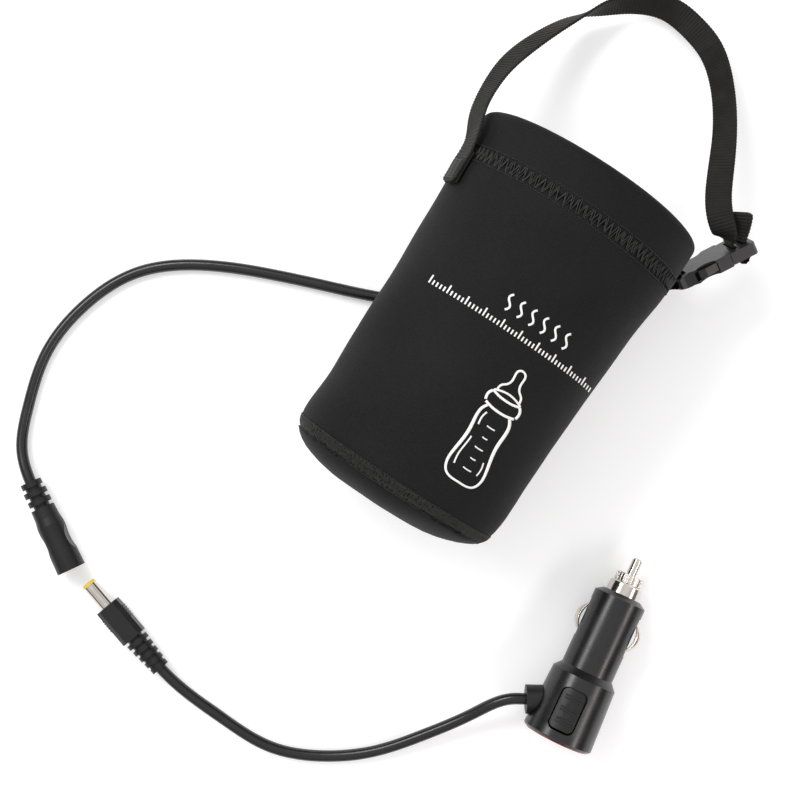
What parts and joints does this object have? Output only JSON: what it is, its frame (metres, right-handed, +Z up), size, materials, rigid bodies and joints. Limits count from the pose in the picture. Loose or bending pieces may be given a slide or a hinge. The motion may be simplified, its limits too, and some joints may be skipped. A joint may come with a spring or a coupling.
{
  "type": "car bottle warmer",
  "caption": "Insulated neoprene sleeve lying on its side with a heating film, a buckled carry strap, an inline DC jack, and a separate fused car socket lead.",
  "frame": {"origin": "middle of the flat outer face of the sleeve's base", "axes": "+Y runs along the sleeve from its base to its mouth, +Z is up from the table the sleeve lies on, +X is across it towards the buckle"},
  "size_m": [0.2605, 0.3311, 0.0842],
  "materials": {
    "black_plastic": "satin black moulding",
    "board": "green circuit board",
    "buckle_plastic": "semi-gloss black acetal",
    "cable_pvc": "glossy black PVC jacket",
    "film": "amber heating film",
    "foam": "closed-cell foam",
    "glass": "fuse glass",
    "ink": "white print",
    "lining": "smooth black lining cloth",
    "neoprene": "matt black brushed nylon face over neoprene foam",
    "nickel": "bright nickel plate",
    "red_lens": "translucent red cap",
    "rubber": "soft black rubber",
    "steel": "spring steel, nickel plated",
    "thread": "bulked nylon overlock thread",
    "track": "etched foil track",
    "webbing": "ribbed polypropylene webbing",
    "white_plastic": "natural insulator",
    "wire_black": "black wire insulation",
    "wire_red": "red wire insulation",
    "yellow_plastic": "yellow insulator ring"
  },
  "bodies": {
    "sleeve": {"outer_sleeve": "neoprene", "mouth_cuff": "neoprene", "inner_lining": "lining", "lining_base": "lining", "heating_film": "film", "heater_track": "track", "thermostat": "black_plastic", "base_disc": "neoprene", "base_pad": "foam", "cuff_stitching": "thread", "base_stitching": "thread", "seam_stitching": "thread", "printed_mark": "ink", "lead_wire_red": "wire_red", "lead_wire_black": "wire_black", "cable_grommet": "rubber", "sleeve_cable": "cable_pvc", "jack_overmould": "black_plastic", "jack_shell": "black_plastic", "jack_centre_pin": "nickel", "jack_spring_contact": "steel", "strap_sewn_tab": "webbing", "loop_sewn_tab": "webbing"},
    "handle": {"strap_webbing": "webbing", "buckle_loop": "webbing", "buckle_female": "buckle_plastic"},
    "buckle_plug": {"buckle_male": "buckle_plastic", "strap_tail": "webbing"},
    "arm_left": {"prong_left": "buckle_plastic"},
    "arm_right": {"prong_right": "buckle_plastic"},
    "power_lead": {"plug_cable": "cable_pvc", "plug_overmould": "black_plastic", "plug_barrel": "nickel", "plug_tip_ring": "yellow_plastic", "plug_insulator": "yellow_plastic", "plug_inner_contact": "nickel", "adapter_housing": "black_plastic", "rear_lens": "red_lens", "fuse_tube": "white_plastic", "nose_bush": "nickel", "spring_plate": "steel", "fuse_spring": "steel", "switch_block": "black_plastic", "circuit_board": "board", "indicator_led": "red_lens", "adapter_wire_red": "wire_red", "adapter_wire_black": "wire_black", "cable_boss": "rubber"},
    "tip": {"tip_contact": "nickel", "fuse_glass": "glass", "fuse_caps": "nickel", "fuse_element": "nickel"},
    "nut": {"nose_nut": "nickel"},
    "ground_left": {"ground_contact_left": "steel"},
    "ground_right": {"ground_contact_right": "steel"},
    "rocker": {"switch_rocker": "black_plastic"}
  },
  "joints": [
    {"name": "handle_swing", "type": "hinge", "parent": "sleeve", "child": "handle", "pos_m": [0.046, 0.1266, -0.0178], "axis": [0.9479, -0.0107, -0.3185], "range_deg": [0, 85]},
    {"name": "buckle_release", "type": "slide", "parent": "handle", "child": "buckle_plug", "axis": [0.4939, 0.8695, 0], "range_m": [0, 0.022], "deforming": ["prong_left", "prong_right"]},
    {"name": "arm_squeeze_left", "type": "hinge", "parent": "buckle_plug", "child": "arm_left", "pos_m": [0.05604, 0.14766, -0.0222], "axis": [-0.8269, 0.4698, 0.309], "range_deg": [0, 6]},
    {"name": "arm_squeeze_right", "type": "hinge", "parent": "buckle_plug", "child": "arm_right", "pos_m": [0.05825, 0.14641, -0.0144], "axis": [-0.8269, 0.4698, 0.309], "range_deg": [-6, 0]},
    {"name": "power_lead_lift", "type": "slide", "parent": "sleeve", "child": "power_lead", "axis": [0, 0, 1], "range_m": [0, 0.15]},
    {"name": "tip_press", "type": "slide", "parent": "power_lead", "child": "tip", "axis": [0.1406, -0.9882, 0.061], "range_m": [0, 0.003], "deforming": ["fuse_spring"]},
    {"name": "nut_turn", "type": "hinge", "parent": "power_lead", "child": "nut", "pos_m": [0.09638, 0.02571, -0.03232], "axis": [-0.1406, 0.9882, -0.061], "continuous": true},
    {"name": "ground_left_press", "type": "hinge", "parent": "power_lead", "child": "ground_left", "pos_m": [0.09341, -0.00344, -0.03208], "axis": [0.2143, -0.0298, -0.9763], "range_deg": [0, 7]},
    {"name": "ground_right_press", "type": "hinge", "parent": "power_lead", "child": "ground_right", "pos_m": [0.10733, -0.00127, -0.02909], "axis": [-0.2143, 0.0298, 0.9763], "range_deg": [0, 7]},
    {"name": "rocker_tilt", "type": "hinge", "parent": "power_lead", "child": "rocker", "pos_m": [0.10191, -0.02688, -0.01997], "axis": [0.9666, 0.1504, 0.2075], "range_deg": [0, 10]}
  ]
}
